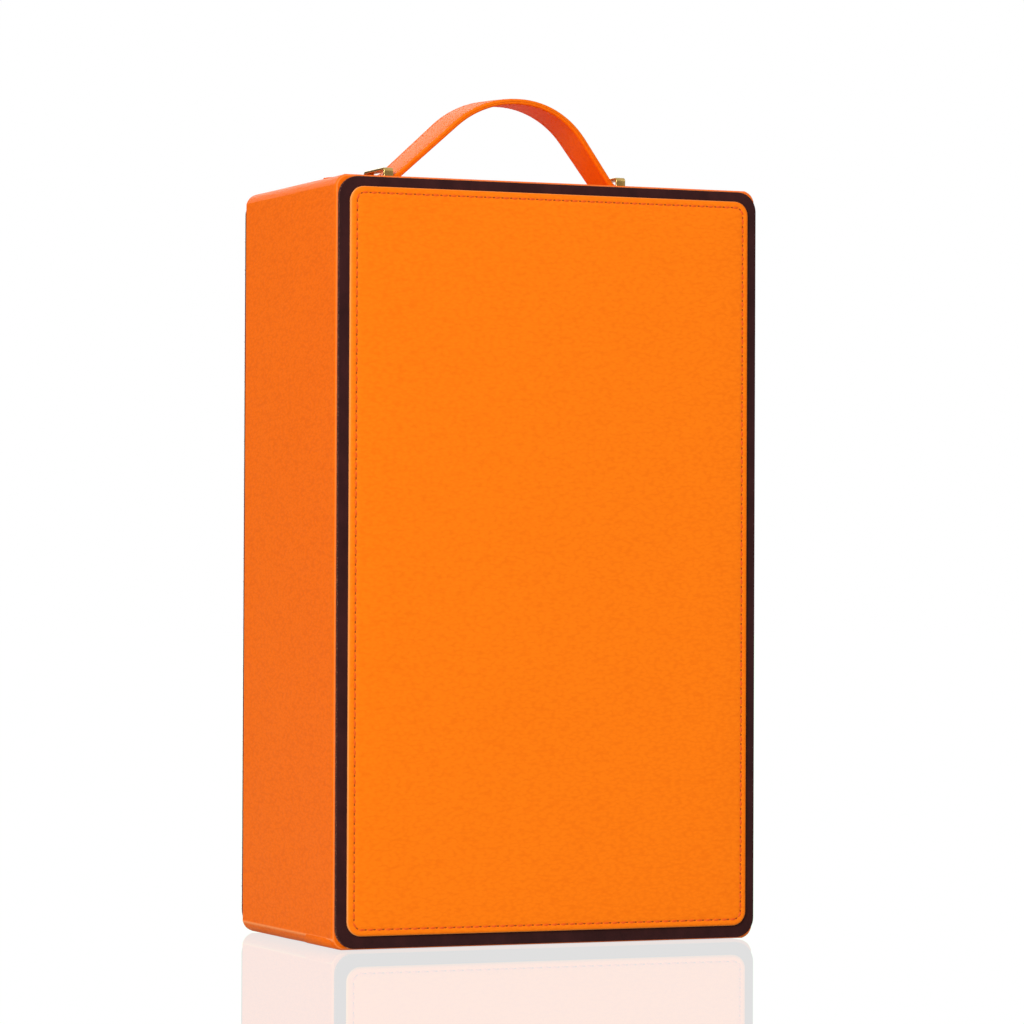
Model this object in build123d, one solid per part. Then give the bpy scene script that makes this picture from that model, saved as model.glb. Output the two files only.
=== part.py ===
from build123d import *
import math
import os

# Leather wine case for two bottles. It stands on end, and its whole front is a door.
# Millimetres. X runs to the right, Y to the back and Z up, and the door faces -Y.
# The origin is the middle of the case, at the floor that it stands on.

# Overall sizes
case_width = 222.0
case_height = 370.0
case_depth = 133.0        # from the face of the door's board to the face of the back board

# Carcass: four mitred boards with leather round them
leather = 1.0
wall = 9.0
corner_radius = 5.0
edge_round = 1.2
base_pad_thickness = 0.5
base_pad_inset = 9.0
back_core_thickness = 6.0

# Dark boards and stitched panels, alike on the door and on the back
board_thickness = 3.0
board_inset = 0.8         # from the case's sides and bottom to the dark boards' edges
board_top_inset = 1.1     # and from its top
board_corner = 9.6
board_edge = 0.4          # bevel along the dark boards' edges
panel_thickness = 2.0
panel_border = 5.1        # of suede beside a panel
panel_end_border = 5.5    # of suede above and below it
panel_corner = 7.0
panel_edge_round = 1.3
panel_raise = 0.4         # the panels are glued on this much above the middle

# Seam and door lining
seam = 0.4
door_lining_thickness = 3.0
door_lining_clearance = 1.0
door_lining_corner = 4.0
door_lining_bevel = 1.2

# Inside
lining = 1.5
divider_thickness = 6.0
divider_setback = 4.5     # from the door's lining to the divider's front edge
divider_nose = 2.4
bottle_radius = 44.0      # the widest bottle that the troughs take
bed_back = 6.0            # padding between a bottle and the back lining
bed_lip = 8.0             # how far the bed's front stays behind the bottle's axis
bed_lip_round = 1.5
bed_height = 200.0
neck_rest_height = 250.0  # above the case's inner floor
neck_rest_thickness = 12.0
neck_notch_radius = 18.0
neck_rest_reach = 12.0    # how far the rest's two horns reach past the neck's axis
neck_axis_lead = 2.0      # the necks lean back by this much against the bottle's axis
neck_pad_width = 60.0
neck_pad_height = 34.0
neck_pad_gap = 6.5        # from a pad's crest to the neck rest's horns
neck_pad_corner = 8.0
neck_pad_round = 5.0

# Butt hinges on the right-hand side
hinge_length = 30.0
hinge_inset = 62.0        # from the case's top and bottom to the middle of a hinge
hinge_clearance = 0.1     # between the case's side and the board's edge when the door lies back
leaf_width = 10.0
leaf_thickness = 1.0
leaf_fit = 0.1
knuckle_radius = 0.8
knuckle_count = 5
knuckle_gap = 0.2
knuckle_clearance = 0.3
pin_radius = 0.4
pin_fit = 0.05
pin_overhang = 0.6
screw_pitch = 18.0
screws_per_leaf = 2
screw_line = 6.0          # from the pin's axis to the row of screws
screw_shank = 0.9
screw_head = 1.7
screw_length = 9.0
fastener_fit = 0.05

# Magnets in the left-hand rim, and the discs that they hold
magnet_radius = 3.0
magnet_length = 5.0
magnet_count = 3
magnet_span = 250.0
strike_radius = 3.6
strike_thickness = 1.0

# Carry handle: two brass loops, and a strap that is threaded under them
loop_spacing = 125.2
handle_shift = -1.85      # the loops' middle, from the middle of the case
loop_width = 5.1
loop_length = 27.5
loop_metal = 1.3
loop_headroom = 4.7       # between a strap that lies flat and a loop's bridge
loop_shoulder = 1.9
prong_tab = 5.5
prong_fit = 0.1
plate_thickness = 1.0
plate_width = 9.0
plate_overhang = 3.0
strap_thickness = 3.0
strap_width = 22.8        # at the loops
strap_middle_width = 30.0
strap_bevel = 0.5
strap_lean = 3.2          # degrees that the loose strap leans towards the door
tail_width = 27.0
tail_length = 21.5
tail_corner = 5.0
tail_gap = 1.5            # from a loop's outer side to the shoulder of the strap's tail
tail_rise = 0.6           # how much a tail lifts from its end to the foot of the arch
core_thickness = 1.2
core_margin = 3.0
arch_height = 45.0        # of the strap's outer face above its tails' underside
left_foot_radius = 13.0   # of the bend by which the strap leaves each loop
right_foot_radius = 12.5
right_foot_lead = 1.2     # the right-hand bend starts this far outside its loop
left_reach = 0.355        # share of the span between the loops under the strap's left leg
right_reach = 0.252
left_crown = 0.445        # share of the arch's flat stretch that each crown curve takes
right_crown = 0.525

# Derived places
front_face = -case_depth / 2
door_back = front_face + board_thickness
rim_front = door_back + seam
rim_back = case_depth / 2 - board_thickness
wall_front = rim_front + leather
wall_back = rim_back - leather
seam_middle = door_back + seam / 2
case_bottom = base_pad_thickness
half_outside = case_width / 2
half_wall = half_outside - leather
half_inside = half_wall - wall
half_bay = half_inside - lining
wall_bottom = case_bottom + leather
wall_top = case_height - leather
inner_bottom = wall_bottom + wall
inner_top = wall_top - wall
floor = inner_bottom + lining
ceiling = inner_top - lining
core_front = rim_back - back_core_thickness
bay_back = core_front - lining
bay_axis = (half_bay + divider_thickness / 2) / 2
bottle_axis = bay_back - bed_back - bottle_radius
neck_axis = bottle_axis + neck_axis_lead
rest_bottom = floor + neck_rest_height
rest_top = rest_bottom + neck_rest_thickness
rest_front = neck_axis - neck_rest_reach
door_pad_face = door_back + door_lining_thickness
hinge_axis = half_outside - (board_inset - hinge_clearance) / 2
hinge_heights = {"lower": case_bottom + hinge_inset, "upper": case_height - hinge_inset}
loop_height = strap_thickness + loop_headroom + loop_metal
loop_places = {
    "left": handle_shift - loop_spacing / 2,
    "right": handle_shift + loop_spacing / 2,
}


# Shapes that several pieces share
def block(low, high):
    """A box between two corners."""
    size = [high[i] - low[i] for i in range(3)]
    middle = [(high[i] + low[i]) / 2 for i in range(3)]
    return Pos(*middle) * Box(*size)


def standing_slab(half_width, bottom, top, corner, front, back, raised=0.0):
    """A slab that stands on edge, with round corners as seen from the front."""
    middle = (bottom + top) / 2 + raised
    plane = Plane(origin=(0, back, middle), x_dir=(1, 0, 0), z_dir=(0, -1, 0))
    outline = plane * RectangleRounded(2 * half_width, top - bottom, corner)
    return extrude(outline, amount=back - front)


def along_y(place, direction):
    """A frame at a place, whose Z runs along +Y or -Y."""
    return Plane(origin=place, x_dir=(1, 0, 0), z_dir=(0, direction, 0))


def peg(place, direction, radius, length):
    """A round bar from a place along +Y or -Y."""
    bar = Cylinder(radius, length, align=(Align.CENTER, Align.CENTER, Align.MIN))
    return along_y(place, direction) * bar


def upright_rod(radius, low, high):
    """A round bar on the hinge's axis, between two heights."""
    bar = Cylinder(radius, high - low, align=(Align.CENTER, Align.CENTER, Align.MIN))
    return Pos(hinge_axis, seam_middle, low) * bar


# Carcass
def solid_carcass(grow=0.0):
    """The carcass as one block; grow is the leather round it, or none for the bare boards."""
    slab = standing_slab(
        half_wall + grow,
        wall_bottom - grow,
        wall_top + grow,
        corner_radius - leather + grow,
        wall_front - grow,
        wall_back + grow,
    )
    faces = slab.faces().sort_by(Axis.Y)
    rims = faces[0].edges() + faces[-1].edges()
    return fillet(rims, edge_round) if grow > 0 else chamfer(rims, edge_round - leather)


def cavity():
    """The space inside the four boards, open at the front and at the back."""
    return block(
        (-half_inside, front_face, inner_bottom),
        (half_inside, -front_face, inner_top),
    )


def mitre_wedge(side):
    """The part of space that belongs to one of the four boards, cut at 45 degrees."""
    middle = (inner_bottom + inner_top) / 2
    far = case_width + case_height
    x, low, high = half_inside, inner_bottom, inner_top
    corners = {
        "left": [(-x, low), (-x, high), (-x - far, high + far), (-x - far, low - far)],
        "right": [(x, low), (x + far, low - far), (x + far, high + far), (x, high)],
        "top": [(-x, high), (x, high), (x + far, high + far), (-x - far, high + far)],
        "bottom": [(-x, low), (-x - far, low - far), (x + far, low - far), (x, low)],
    }
    points = [(px, pz - middle) for px, pz in corners[side]]
    plane = Plane(origin=(0, -front_face, middle), x_dir=(1, 0, 0), z_dir=(0, -1, 0))
    return extrude(plane * make_face(Polyline(*points, close=True)), amount=case_depth)


def hinge_coves():
    """The round hollows in which the hinges' knuckles turn."""
    reach = hinge_length / 2 + pin_overhang + knuckle_clearance
    radius = knuckle_radius + knuckle_clearance
    return [upright_rod(radius, z - reach, z + reach) for z in hinge_heights.values()]


def screw_places(height):
    """The row of fasteners of one leaf, as X and Z."""
    first = height - screw_pitch * (screws_per_leaf - 1) / 2
    return [(hinge_axis - screw_line, first + i * screw_pitch) for i in range(screws_per_leaf)]


def magnet_places():
    """Where the magnets lie in the left-hand rim, as X and Z."""
    x = -(half_inside + half_outside) / 2
    middle = (case_bottom + case_height) / 2
    pitch = magnet_span / (magnet_count - 1)
    return [(x, middle + (i - (magnet_count - 1) / 2) * pitch) for i in range(magnet_count)]


def leaf_seats(direction):
    """The hollows that the leaves lie in; direction is 1 in the case and -1 in the door."""
    far = seam_middle + direction * (seam / 2 + leaf_thickness)
    reach = hinge_length / 2 + leaf_fit
    inner = hinge_axis - leaf_width - leaf_fit
    return [
        block(
            (inner, min(far, seam_middle), height - reach),
            (half_outside + leather, max(far, seam_middle), height + reach),
        )
        for height in hinge_heights.values()
    ]


def loop_slots(bottom, top, ease=0.0):
    """The slots that the loops' prongs go through, between two heights."""
    slots = []
    for x in loop_places.values():
        for side in (-1, 1):
            y = side * (loop_length - loop_metal) / 2
            half_x = loop_width / 2 + prong_fit
            half_y = loop_metal / 2 + prong_fit + ease
            slots.append(block((x - half_x, y - half_y, bottom), (x + half_x, y + half_y, top)))
    return slots


def body_wrap():
    """Leather round the carcass, turned over its front and back rims."""
    skin = solid_carcass(leather) - solid_carcass()
    skin -= cavity()
    skin -= hinge_coves()
    skin -= leaf_seats(1)
    skin -= [
        peg((x, rim_front - seam, z), 1, magnet_radius + fastener_fit, magnet_length)
        for x, z in magnet_places()
    ]
    for height in hinge_heights.values():
        for x, z in screw_places(height):
            skin -= peg((x, rim_front, z), 1, screw_shank + fastener_fit, screw_length)
    return skin - loop_slots(wall_top - leather, case_height + leather)


def carcass_board(side):
    """One board of the carcass, mitred at both ends and round at the outer corners."""
    board = (solid_carcass() - cavity()) & mitre_wedge(side)
    if side == "right":
        board -= hinge_coves()
        board -= leaf_seats(1)
        for height in hinge_heights.values():
            for x, z in screw_places(height):
                board -= peg((x, rim_front, z), 1, screw_shank + fastener_fit, screw_length)
    if side == "left":
        for x, z in magnet_places():
            board -= peg((x, rim_front, z), 1, magnet_radius + fastener_fit, magnet_length)
    if side == "top":
        board -= loop_slots(inner_top - leather, wall_top + leather)
        board -= [plate_seat(x) for x in loop_places.values()]
    return board


def plate_seat(x):
    """The hollow under the top board for a loop's plate and its bent prongs."""
    half_x = plate_width / 2 + prong_fit
    half_y = loop_length / 2 + plate_overhang + prong_fit
    depth = plate_thickness + loop_metal
    return block((x - half_x, -half_y, inner_top - depth), (x + half_x, half_y, inner_top + depth))


def base_pad():
    """Thin felt under the case, which is what it stands on."""
    half_x = half_outside - base_pad_inset
    front, back = rim_front + base_pad_inset, rim_back - base_pad_inset
    outline = Pos(0, (front + back) / 2) * RectangleRounded(2 * half_x, back - front, base_pad_inset)
    return extrude(outline, amount=base_pad_thickness)


def back_core():
    """The board that closes the carcass at the back, between the four others."""
    return block(
        (-half_inside, core_front, inner_bottom),
        (half_inside, rim_back, inner_top),
    )


# Dark boards and stitched panels
def dark_board(front, back):
    """A suede board as large as the case, with its corners round."""
    slab = standing_slab(
        half_outside - board_inset,
        case_bottom + board_inset,
        case_height - board_top_inset,
        board_corner,
        front,
        back,
    )
    faces = slab.faces().sort_by(Axis.Y)
    return chamfer(faces[0].edges() + faces[-1].edges(), board_edge)


def stitched_panel(front, back, outer):
    """A leather panel on a dark board; outer is -1 at the front and 1 at the back."""
    end_border = board_inset + panel_end_border
    slab = standing_slab(
        half_outside - board_inset - panel_border,
        case_bottom + end_border,
        case_height - end_border,
        panel_corner,
        front,
        back,
        raised=panel_raise,
    )
    face = slab.faces().sort_by(Axis.Y)[0 if outer < 0 else -1]
    return fillet(face.edges(), panel_edge_round)


def door_board():
    """The door's board, cut for the hinges and for the strike discs."""
    board = dark_board(front_face, door_back)
    board -= hinge_coves()
    board -= leaf_seats(-1)
    for height in hinge_heights.values():
        for x, z in screw_places(height):
            board -= peg((x, rim_front, z), -1, screw_shank + fastener_fit, 2 * board_thickness)
    for x, z in magnet_places():
        seat = (x, door_back - strike_thickness, z)
        board -= peg(seat, 1, strike_radius + fastener_fit, board_thickness)
    return board


# Inside of the case
def side_lining(side):
    """Suede lining on a side board, from the rim to the back lining."""
    inner, outer = side * half_bay, side * half_inside
    low, high = min(inner, outer), max(inner, outer)
    return block((low, wall_front, inner_bottom), (high, bay_back, inner_top))


def flat_lining(bottom, top):
    """Suede lining on the top or the bottom board, between the side linings."""
    return block((-half_bay, wall_front, bottom), (half_bay, bay_back, top))


def back_lining():
    """Suede lining over the whole back of the inside."""
    return block((-half_inside, bay_back, inner_bottom), (half_inside, core_front, inner_top))


def bay_divider():
    """The upright between the two bottles, with a round front edge."""
    half = divider_thickness / 2
    front = door_pad_face + divider_setback
    slab = block((-half, front, floor), (half, bay_back, ceiling))
    nose = slab.faces().sort_by(Axis.Y)[0].edges().filter_by(Axis.Z)
    return fillet(nose, divider_nose)


def bay_sides(side):
    """The left and right limits of one bay, in order."""
    near, far = side * divider_thickness / 2, side * half_bay
    return min(near, far), max(near, far)


def bottle_bed(side):
    """A padded block with a trough that a bottle lies back in."""
    left, right = bay_sides(side)
    front = bottle_axis + bed_lip
    bed = block((left, front, floor), (right, bay_back, floor + bed_height))
    bottle = Cylinder(bottle_radius, 2 * case_height)
    bed -= Pos(side * bay_axis, bottle_axis, floor) * bottle
    lips = bed.edges().filter_by(Axis.Z).group_by(Axis.Y)[0]
    inner_lips = [e for e in lips if left < e.center().X - bed_lip_round < right - 2 * bed_lip_round]
    return fillet(inner_lips, bed_lip_round)


def neck_rest(side):
    """A shelf with a notch that a bottle's neck leans in."""
    left, right = bay_sides(side)
    shelf = block((left, rest_front, rest_bottom), (right, bay_back, rest_top))
    x, r = side * bay_axis, neck_notch_radius
    round_end = Pos(x, neck_axis, rest_bottom) * Cylinder(r, 4 * neck_rest_thickness)
    mouth = block((x - r, rest_front - r, floor), (x + r, neck_axis, ceiling))
    shelf -= [round_end, mouth]
    lips = shelf.edges().filter_by(Axis.Z).group_by(Axis.Y)[0]
    inner_lips = [edge for edge in lips if abs(abs(edge.center().X - x) - r) < r / 10]
    return fillet(inner_lips, neck_rest_thickness / 4)


# Inside of the door
def door_lining():
    """The door's lining, which fits inside the rim when the door is shut."""
    reach = door_lining_clearance
    slab = standing_slab(
        half_bay - reach,
        floor + reach,
        ceiling - reach,
        door_lining_corner,
        door_back,
        door_pad_face,
    )
    face = slab.faces().sort_by(Axis.Y)[-1]
    return chamfer(face.edges(), door_lining_bevel)


def neck_pad(side):
    """A soft-edged pad on the door, which keeps a bottle's neck in its rest."""
    middle = (rest_bottom + rest_top) / 2
    plane = Plane(
        origin=(side * bay_axis, door_pad_face, middle), x_dir=(1, 0, 0), z_dir=(0, 1, 0)
    )
    outline = RectangleRounded(neck_pad_width, neck_pad_height, neck_pad_corner)
    pad = extrude(plane * outline, amount=rest_front - neck_pad_gap - door_pad_face)
    return fillet(pad.faces().sort_by(Axis.Y)[-1].edges(), neck_pad_round)


# Hinges
def knuckle_span(height, index):
    """Lowest and highest point of one knuckle's share of the hinge."""
    pitch = hinge_length / knuckle_count
    low = height - hinge_length / 2 + index * pitch
    return low, low + pitch


def hinge_leaf(height, direction):
    """One leaf with its knuckles; direction is 1 on the case and -1 on the door."""
    near = seam_middle + direction * seam / 2
    far = near + direction * leaf_thickness
    reach = hinge_length / 2
    leaf = block(
        (hinge_axis - leaf_width, min(near, far), height - reach),
        (hinge_axis, max(near, far), height + reach),
    )
    corners = leaf.edges().filter_by(Axis.Y).group_by(Axis.X)[0]
    leaf = fillet(corners, leaf_thickness)
    first = 0 if direction > 0 else 1
    for index in range(knuckle_count):
        low, high = knuckle_span(height, index)
        if index % 2 == first:
            leaf += upright_rod(knuckle_radius, low + knuckle_gap / 2, high - knuckle_gap / 2)
        else:
            clear = knuckle_radius + knuckle_clearance
            leaf -= upright_rod(clear, low - knuckle_gap / 2, high + knuckle_gap / 2)
    leaf -= upright_rod(pin_radius + pin_fit, height - hinge_length, height + hinge_length)
    for x, z in screw_places(height):
        sink = Cone(
            screw_head + fastener_fit,
            screw_shank + fastener_fit,
            leaf_thickness,
            align=(Align.CENTER, Align.CENTER, Align.MIN),
        )
        leaf -= along_y((x, near, z), direction) * sink
    return leaf


def hinge_pin(height):
    """The pin of one hinge, a little longer than its knuckles."""
    reach = hinge_length / 2 + pin_overhang
    return upright_rod(pin_radius, height - reach, height + reach)


def countersunk(length):
    """A countersunk screw or rivet, whose head's face is at Z = 0 and whose shank runs up."""
    outline = Polyline(
        (0, 0),
        (screw_head, 0),
        (screw_shank, leaf_thickness),
        (screw_shank, length),
        (0, length),
        close=True,
    )
    return revolve(Plane.XZ * make_face(outline), Axis.Z)


def hinge_screws():
    """The screws that hold the hinges to the edge of the right-hand board."""
    screw = countersunk(screw_length)
    places = [place for z in hinge_heights.values() for place in screw_places(z)]
    return [along_y((x, rim_front, z), 1) * screw for x, z in places]


def hinge_rivets():
    """The rivets that hold the hinges to the door's board, flush under its panel."""
    rivet = countersunk(board_thickness)
    places = [place for z in hinge_heights.values() for place in screw_places(z)]
    return [along_y((x, door_back, z), -1) * rivet for x, z in places]


def closing_magnets():
    """Round magnets, flush with the leather of the rim."""
    return [peg((x, rim_front, z), 1, magnet_radius, magnet_length - seam) for x, z in magnet_places()]


def strike_discs():
    """Steel discs in the door's board, one across from each magnet."""
    place_y = door_back - strike_thickness
    return [peg((x, place_y, z), 1, strike_radius, strike_thickness) for x, z in magnet_places()]


# Carry handle
def loop_section():
    """The loop's bent strip as seen along X: bridge, legs and the prongs' bent tabs."""
    outer, inner = loop_length / 2, loop_length / 2 - loop_metal
    tab_end = outer - prong_tab
    top, low = case_height + loop_height, inner_top
    half = [
        (0, top),
        (outer, top),
        (outer, low),
        (tab_end, low),
        (tab_end, low + loop_metal),
        (inner, low + loop_metal),
        (inner, top - loop_metal),
        (0, top - loop_metal),
    ]
    other_half = [(-y, z) for y, z in reversed(half[1:-1])]
    return make_face(Polyline(*half, *other_half, close=True))


def bends_at(strip, distance):
    """The strip's bends that lie at one distance from the strap's middle."""
    return [
        edge
        for edge in strip.edges().filter_by(Axis.X)
        if abs(abs(edge.center().Y) - distance) < loop_metal / 10
    ]


def loop(x):
    """A flat brass strip bent into a bridge, with prongs that are clinched under a plate."""
    plane = Plane(origin=(x - loop_width / 2, 0, 0), x_dir=(0, 1, 0), z_dir=(1, 0, 0))
    strip = extrude(plane * loop_section(), amount=loop_width)
    strip = fillet(bends_at(strip, loop_length / 2), loop_shoulder)
    return fillet(bends_at(strip, loop_length / 2 - loop_metal), loop_shoulder - loop_metal)


def loop_plate(x):
    """The plate between the top board and a loop's bent prongs."""
    half_y = loop_length / 2 + plate_overhang
    bottom = inner_top + loop_metal
    plate = block(
        (x - plate_width / 2, -half_y, bottom),
        (x + plate_width / 2, half_y, bottom + plate_thickness),
    )
    plate = fillet(plate.edges().filter_by(Axis.Z), plate_thickness)
    return plate - loop_slots(inner_top, wall_top, ease=loop_shoulder - loop_metal)


def strap_line():
    """The middle of the strap's thickness, as seen from the front."""
    low = case_height + strap_thickness / 2
    foot = low + tail_rise
    high = case_height + arch_height - strap_thickness / 2
    left_start = loop_places["left"] - loop_width / 2
    right_start = loop_places["right"] + loop_width / 2
    span = right_start - left_start
    left_turn = math.atan2(high - foot, left_reach * span)
    right_turn = math.atan2(high - foot, right_reach * span)
    left = left_start + left_foot_radius * math.tan(left_turn / 2)
    right = right_start + right_foot_lead - right_foot_radius * math.tan(right_turn / 2)
    left_top, right_top = left + left_reach * span, right - right_reach * span
    flat = right_top - left_top
    points = [
        (left_start - tail_gap - tail_length, low),
        (left, foot),
        (left_top, high),
        (right_top, high),
        (right, foot),
        (right_start + tail_gap + tail_length, low),
    ]
    radii = [
        left_foot_radius,
        left_crown * flat / math.tan(left_turn / 2),
        right_crown * flat / math.tan(right_turn / 2),
        right_foot_radius,
    ]
    return FilletPolyline(*points, radius=radii)


def belly(left, right, half, half_middle):
    """The strap's band between its shoulders as seen from above, widest in the middle."""
    middle = (left + right) / 2
    near = ThreePointArc((left, -half), (middle, -half_middle), (right, -half))
    far = ThreePointArc((right, half), (middle, half_middle), (left, half))
    ends = [Line((right, -half), (right, half)), Line((left, half), (left, -half))]
    return make_face([near, ends[0], far, ends[1]])


def strap_plan(margin):
    """The strap as seen from above: a band between two wider tails with round ends."""
    height = 2 * arch_height
    half = strap_width / 2 - margin
    shoulders = [x + s * (loop_width / 2 + tail_gap) for s, x in zip((-1, 1), loop_places.values())]
    plan = block(
        (shoulders[0] - tail_corner, -half, case_height - height),
        (shoulders[1] + tail_corner, half, case_height + height),
    )
    band = belly(*shoulders, half, strap_middle_width / 2 - margin)
    plan += extrude(Pos(0, 0, case_height - height) * band, amount=2 * height)
    for side, shoulder in zip((-1, 1), shoulders):
        length = tail_length - 2 * margin
        middle = shoulder + side * tail_length / 2
        outline = RectangleRounded(length, tail_width - 2 * margin, tail_corner - margin / 2)
        plan += extrude(Pos(middle, 0, case_height - height) * outline, amount=2 * height)
    return plan


def strap_layer(low, high, margin):
    """A layer of the strap between two heights in its thickness, cut to the plan."""
    line = Wire(strap_line().edges())
    face = make_face(line.offset_2d(high, side=Side.LEFT, closed=True))
    if low < 0:
        face += make_face(line.offset_2d(-low, side=Side.RIGHT, closed=True))
    plane = Plane(origin=(0, 0, 0), x_dir=(1, 0, 0), z_dir=(0, -1, 0))
    return extrude(plane * face, amount=tail_width, both=True) & strap_plan(margin)


def burnished_edges(strap):
    """The edges all round the strap's two faces, without the lines across it."""
    wide = [f for f in strap.faces() if f.bounding_box().size.Y > strap_width - strap_bevel]
    edges = ShapeList([edge for face in wide for edge in face.edges()])
    return [e for e in edges if e.bounding_box().size.Y < strap_width - strap_bevel]


def handle_layers():
    """The strap's outer leather, its stiffener and its lining."""
    half, half_core = strap_thickness / 2, core_thickness / 2
    whole = strap_layer(-half, half, 0)
    whole = chamfer(burnished_edges(whole), strap_bevel)
    core = strap_layer(-half_core, half_core, core_margin)
    upper = strap_layer(0, strap_thickness, -strap_bevel)
    layers = {
        "handle_outer": (whole & upper) - core,
        "handle_core": core,
        "handle_lining": (whole - upper) - core,
    }
    return set_down(layers)


def set_down(layers):
    """Lean the strap in its loops, as far down as the case's top lets it."""
    lean = Pos(0, 0, case_height) * Rot(strap_lean, 0, 0) * Pos(0, 0, -case_height)
    leaned = {name: lean * piece for name, piece in layers.items()}
    lowest = min(piece.bounding_box().min.Z for piece in leaned.values())
    return {name: Pos(0, 0, case_height - lowest) * piece for name, piece in leaned.items()}


def build_nodes():
    """Every piece of the case by name."""
    nodes = {
        "base_pad": base_pad(),
        "body_wrap": body_wrap(),
        "back_core": back_core(),
        "back_board": dark_board(rim_back, -front_face),
        "back_panel": stitched_panel(-front_face, -front_face + panel_thickness, 1),
        "top_lining": flat_lining(ceiling, inner_top),
        "bottom_lining": flat_lining(inner_bottom, floor),
        "back_lining": back_lining(),
        "bay_divider": bay_divider(),
        "door_board": door_board(),
        "door_panel": stitched_panel(front_face - panel_thickness, front_face, -1),
        "door_lining": door_lining(),
        "hinge_pins": [hinge_pin(z) for z in hinge_heights.values()],
        "hinge_screws": hinge_screws(),
        "hinge_rivets": hinge_rivets(),
        "closing_magnets": closing_magnets(),
        "strike_discs": strike_discs(),
        "loop_plates": [loop_plate(x) for x in loop_places.values()],
    }
    for side in ("left", "right", "top", "bottom"):
        nodes[side + "_wall"] = carcass_board(side)
    for name, side in (("left", -1), ("right", 1)):
        nodes[name + "_lining"] = side_lining(side)
        nodes[name + "_bottle_bed"] = bottle_bed(side)
        nodes[name + "_neck_rest"] = neck_rest(side)
        nodes[name + "_neck_pad"] = neck_pad(side)
        nodes[name + "_loop"] = loop(loop_places[name])
    for name, height in hinge_heights.items():
        nodes[name + "_hinge_case_leaf"] = hinge_leaf(height, 1)
        nodes[name + "_hinge_door_leaf"] = hinge_leaf(height, -1)
    nodes.update(handle_layers())
    return nodes


def main():
    os.makedirs("parts", exist_ok=True)
    for name, piece in build_nodes().items():
        solids = piece if isinstance(piece, list) else [piece]
        group = Compound([solid for item in solids for solid in item.solids()])
        export_step(group, os.path.join("parts", name + ".step"))
        print(name, len(group.solids()), round(group.volume, 1))


main()
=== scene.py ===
import math
import random

import bmesh
import bpy
from mathutils import Matrix, Vector, noise


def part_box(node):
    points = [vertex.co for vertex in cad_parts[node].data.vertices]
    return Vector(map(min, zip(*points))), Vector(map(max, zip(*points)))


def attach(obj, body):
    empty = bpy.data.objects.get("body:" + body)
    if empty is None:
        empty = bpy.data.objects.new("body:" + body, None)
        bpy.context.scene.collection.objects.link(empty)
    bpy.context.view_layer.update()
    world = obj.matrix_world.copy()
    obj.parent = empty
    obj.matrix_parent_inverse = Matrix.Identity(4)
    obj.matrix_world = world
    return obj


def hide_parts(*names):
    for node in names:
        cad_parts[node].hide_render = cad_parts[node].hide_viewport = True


# Looks of a leather wine case: pebbled orange leather, dark suede boards, brass fittings.
# Shapes are drawn in millimetres, and each is brought to metres when its piece is finished.

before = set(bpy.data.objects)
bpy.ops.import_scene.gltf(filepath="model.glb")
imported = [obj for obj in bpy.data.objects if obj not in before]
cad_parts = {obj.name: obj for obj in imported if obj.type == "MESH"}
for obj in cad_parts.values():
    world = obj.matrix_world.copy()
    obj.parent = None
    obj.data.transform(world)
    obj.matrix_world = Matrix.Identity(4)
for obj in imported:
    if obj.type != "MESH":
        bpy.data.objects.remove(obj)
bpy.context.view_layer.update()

MM = 0.001

# Sizes that the looks share with the CAD model
LEATHER = 1.0
TURN_IN = 10.0            # how far the wrap's leather is turned over a rim
WRAP_CORNER = 5.0
RIM_ROUND = 1.2
BOARD_CORNER = 9.6
BOARD_EDGE = 0.4
PANEL_CORNER = 7.0
PANEL_EDGE = 1.3
HINGE_HEIGHTS = (62.5, 308.0)
HINGE_REACH = 15.0
LEAF_WIDTH = 10.0
KNUCKLE_ROOM = 1.1
SCREW_HEAD = 1.7
SCREW_SHANK = 0.9
SCREW_LENGTH = 9.0
SCREW_REACH = 9.0         # from a hinge's middle to each of its screws
MAGNET_HEIGHTS = (60.25, 185.25, 310.25)
MAGNET_ROOM = 3.05
DISC_ROOM = 3.65
LOOP_PLACES = (-64.45, 60.75)
LOOP_HALF = 2.55          # half the width of the brass strip that a loop is bent from
LOOP_HALF_THICK = 0.65
PRONG_PLACE = 13.1        # from the middle of a loop to the middle of each prong
BAY_AXIS = 51.25
BOTTLE_AXIS = 6.0
BOTTLE_RADIUS = 44.0
NECK_AXIS = 8.0
NECK_RADIUS = 18.0

# Sizes of the looks alone
CORNER_FLATTENING = 0.5   # how far the wrap's round corners are pressed flat between their creases
CREASE_MARGIN = 0.8       # a narrow face beside each crease, which keeps the crease crisp
STITCH_INSET = 3.1        # from a panel's edge to its seam
STITCH_PITCH = 4.55
STITCH_SIZE = (3.6, 1.0, 0.6)
NAP_LENGTH = 0.55         # of the fibres on the boards' cut edges
NAP_DENSITY = 2.5         # fibres on each millimetre of edge
LINING_CORNER = 6.4
LINING_EDGE = 1.2
PAD_SLACK = 1.6           # room that a pad's cover is left to be filled into
PAD_VOXEL = 2.6


# Shapes
def box_mm(node):
    """The lowest and highest corners of a CAD node, in millimetres."""
    low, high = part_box(node)
    return low / MM, high / MM


def middle_of(node):
    """The middle of a CAD node, in millimetres."""
    low, high = box_mm(node)
    return (low + high) / 2


def block(low, high):
    """A box between two corners."""
    bm = bmesh.new()
    low, high = Vector(low), Vector(high)
    bmesh.ops.create_cube(bm, size=1.0)
    bmesh.ops.scale(bm, vec=high - low, verts=bm.verts)
    bmesh.ops.translate(bm, vec=(low + high) / 2, verts=bm.verts)
    return bm


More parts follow.
